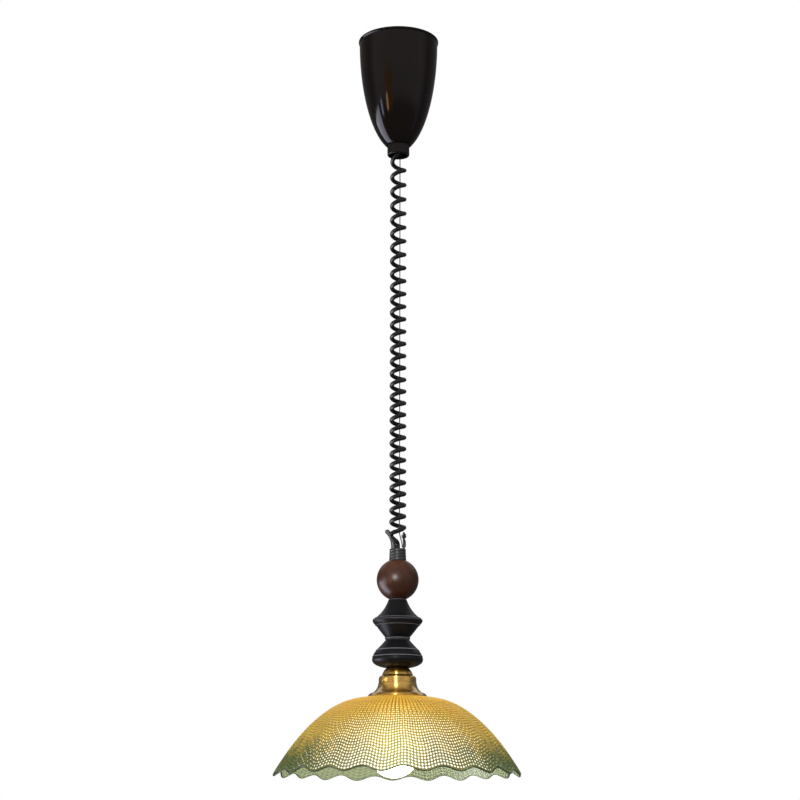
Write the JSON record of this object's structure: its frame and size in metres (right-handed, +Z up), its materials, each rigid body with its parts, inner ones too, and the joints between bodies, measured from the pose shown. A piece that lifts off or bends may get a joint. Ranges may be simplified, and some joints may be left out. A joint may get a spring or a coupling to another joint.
{
  "type": "wooden pendant light",
  "caption": "Rise-and-fall pendant lamp: dark canopy with a hidden wire reel, curly cord, turned wooden stem and a ruffled pressed-glass shade on a brass gallery.",
  "frame": {"origin": "centre of the ceiling plane, on the lamp's axis", "axes": "+Z up into the ceiling, -Y towards the viewer, +X to the viewer's right"},
  "size_m": [0.3038, 0.3034, 0.9587],
  "materials": {
    "zinc_steel": "zinc-plated sheet steel",
    "reel_steel": "zinc-plated sheet steel, pressed",
    "turned_steel": "turned and plated",
    "spring_steel": "blued spring steel",
    "clip_steel": "spring steel, nickel-plated",
    "canopy_plastic": "gloss, moulded, very dark brown",
    "nozzle_plastic": "half gloss, moulded, very dark brown",
    "drum_plastic": "natural nylon",
    "guide_plastic": "natural nylon",
    "block_plastic": "white nylon",
    "terminal_brass": "machined",
    "wire_steel": "stranded, galvanised",
    "cord_rubber": "matt, extruded",
    "yoke_plastic": "satin, moulded, dark grey",
    "walnut": "turned, satin lacquer",
    "black_wood": "turned, satin black lacquer",
    "gallery_brass": "spun, antique satin",
    "holder_plastic": "phenolic, black",
    "porcelain": "glazed porcelain",
    "shell_brass": "rolled thread",
    "amber_glass": "pressed linen relief, amber to olive",
    "opal_glass": "opal",
    "bulb_metal": "rolled thread",
    "bulb_black": "vitrite",
    "solder": "tinned"
  },
  "bodies": {
    "ceiling_fixture": {"ceiling_bracket": "zinc_steel", "hanger_nipple": "turned_steel", "hanger_nuts": "turned_steel", "canopy_clips": "clip_steel", "canopy_cup": "canopy_plastic", "reel_frame": "reel_steel", "reel_axle": "turned_steel", "axle_clip": "spring_steel", "wire_drop": "wire_steel", "nozzle": "nozzle_plastic", "nozzle_nut": "nozzle_plastic", "wire_guide": "guide_plastic", "terminal_block": "block_plastic", "terminal_tubes": "terminal_brass", "terminal_screws": "zinc_steel", "lead_in": "cord_rubber", "cord_clamp": "reel_steel"},
    "reel_drum": {"wire_drum": "drum_plastic", "drum_cap": "drum_plastic", "mainspring": "spring_steel", "wound_wire": "wire_steel"},
    "hanging_cord": {"suspension_wire": "wire_steel", "curly_cord": "cord_rubber"},
    "lamp": {"wire_tie": "wire_steel", "cord_yoke": "yoke_plastic", "ferrule": "yoke_plastic", "holder_lead": "cord_rubber", "walnut_ball": "walnut", "upper_spindle": "black_wood", "lower_spindle": "black_wood", "centre_tube": "turned_steel", "tube_nut": "terminal_brass", "gallery_cap": "gallery_brass", "gallery_bell": "gallery_brass", "lampholder_cap": "holder_plastic", "lampholder_body": "holder_plastic", "contact_block": "porcelain", "contact_spring": "terminal_brass", "screw_shell": "shell_brass", "shade_ring": "holder_plastic", "glass_shade": "amber_glass", "bulb_globe": "opal_glass", "bulb_cap": "bulb_metal", "bulb_insulator": "bulb_black", "bulb_contact": "solder"}
  },
  "joints": [
    {"name": "drum_spin", "type": "hinge", "parent": "ceiling_fixture", "child": "reel_drum", "pos_m": [-0.0138, 0, -0.0625], "axis": [0, 1, 0], "range_deg": [-725, 2160]},
    {"name": "lamp_swing", "type": "hinge", "parent": "ceiling_fixture", "child": "hanging_cord", "pos_m": [0, 0, -0.152], "axis": [0, 1, 0], "range_deg": [-10, 10]},
    {"name": "rise_and_fall", "type": "slide", "parent": "hanging_cord", "child": "lamp", "axis": [0, 0, 1], "range_m": [-0.6, 0.2], "deforming": ["suspension_wire", "curly_cord"]}
  ],
  "couplings": [
    {"joint": "drum_spin", "follows": "rise_and_fall", "rad_per_m": -62.5}
  ]
}
